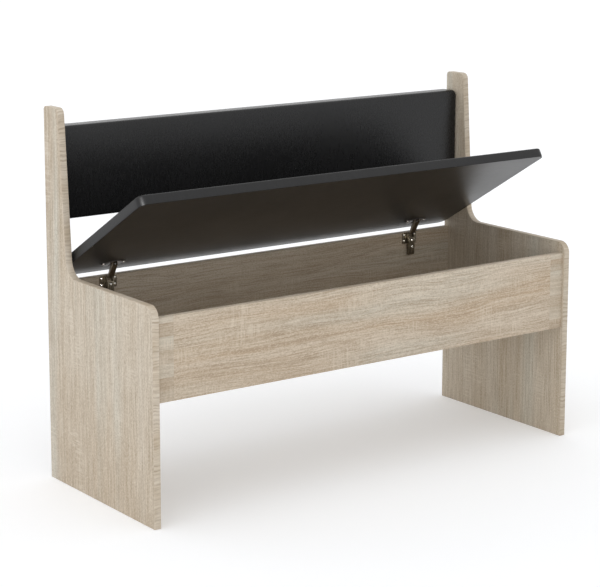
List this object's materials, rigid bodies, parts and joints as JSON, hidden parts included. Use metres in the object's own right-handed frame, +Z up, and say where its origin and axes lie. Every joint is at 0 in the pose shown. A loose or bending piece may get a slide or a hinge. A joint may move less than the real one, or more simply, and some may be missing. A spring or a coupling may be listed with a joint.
{
  "type": "storage bench",
  "caption": "Straight storage bench with board side panels, an upholstered backrest and an upholstered seat that lifts on concealed hinges over a storage box.",
  "frame": {"origin": "on the floor, under the middle of the whole outline with the lid partly open", "axes": "+X along the length of the bench to its right end as seen by someone facing it, +Y to the back of the bench, +Z up"},
  "size_m": [1.174, 0.455, 0.85],
  "materials": {
    "oak_laminate": "matt light oak decor on chipboard",
    "black_laminate": "satin black laminate on chipboard",
    "leatherette": "fine-grained black artificial leather",
    "foam": "upholstery foam",
    "dark_steel": "dark nickel plated steel",
    "bright_steel": "bright zinc plated steel",
    "zinc": "cast zinc alloy"
  },
  "bodies": {
    "carcass": {"left_side_panel": "oak_laminate", "right_side_panel": "oak_laminate", "front_panel": "oak_laminate", "rear_panel": "oak_laminate", "bottom_panel": "oak_laminate", "front_panel_left_cam": "zinc", "front_panel_left_bolt": "bright_steel", "front_panel_right_cam": "zinc", "front_panel_right_bolt": "bright_steel", "rear_panel_left_cam": "zinc", "rear_panel_left_bolt": "bright_steel", "rear_panel_right_cam": "zinc", "rear_panel_right_bolt": "bright_steel", "bottom_panel_left_cam": "zinc", "bottom_panel_left_bolt": "bright_steel", "bottom_panel_right_cam": "zinc", "bottom_panel_right_bolt": "bright_steel", "backrest_left_cam": "zinc", "backrest_left_bolt": "bright_steel", "backrest_right_cam": "zinc", "backrest_right_bolt": "bright_steel", "backrest_board": "oak_laminate", "backrest_foam": "foam", "backrest_cover": "leatherette", "left_hinge_plate": "dark_steel", "left_hinge_arm": "dark_steel", "left_hinge_plate_screw_1": "bright_steel", "left_hinge_plate_screw_2": "bright_steel", "left_hinge_plate_screw_3": "bright_steel", "left_hinge_plate_screw_4": "bright_steel", "left_hinge_adjusting_screw": "bright_steel", "left_hinge_fixing_screw": "bright_steel", "left_hinge_arm_pin": "bright_steel", "right_hinge_plate": "dark_steel", "right_hinge_arm": "dark_steel", "right_hinge_plate_screw_1": "bright_steel", "right_hinge_plate_screw_2": "bright_steel", "right_hinge_plate_screw_3": "bright_steel", "right_hinge_plate_screw_4": "bright_steel", "right_hinge_adjusting_screw": "bright_steel", "right_hinge_fixing_screw": "bright_steel", "right_hinge_arm_pin": "bright_steel"},
    "outer_links": {"left_hinge_outer_link": "dark_steel", "right_hinge_outer_link": "dark_steel"},
    "lid": {"seat_board": "black_laminate", "seat_foam": "foam", "seat_cover": "leatherette", "left_hinge_cup": "dark_steel", "left_hinge_cup_pin": "bright_steel", "left_hinge_cup_screw_1": "bright_steel", "left_hinge_cup_screw_2": "bright_steel", "right_hinge_cup": "dark_steel", "right_hinge_cup_pin": "bright_steel", "right_hinge_cup_screw_1": "bright_steel", "right_hinge_cup_screw_2": "bright_steel"},
    "inner_links": {"left_hinge_inner_link": "dark_steel", "right_hinge_inner_link": "dark_steel"}
  },
  "joints": [
    {"name": "outer_link_pivot", "type": "hinge", "parent": "carcass", "child": "outer_links", "pos_m": [0, 0.19221, 0.451], "axis": [-1, 0, 0], "range_deg": [-54.6, 51.4]},
    {"name": "lid_pivot", "type": "hinge", "parent": "outer_links", "child": "lid", "pos_m": [0, 0.16877, 0.49213], "axis": [1, 0, 0], "range_deg": [-24.1, 22.67]},
    {"name": "inner_link_pivot", "type": "hinge", "parent": "carcass", "child": "inner_links", "pos_m": [0, 0.19481, 0.446], "axis": [-1, 0, 0], "range_deg": [-51.4, 48.4]}
  ],
  "couplings": [
    {"joint": "outer_link_pivot", "follows": "lid_pivot", "ratio": 2.2613},
    {"joint": "inner_link_pivot", "follows": "lid_pivot", "ratio": 2.1292}
  ]
}
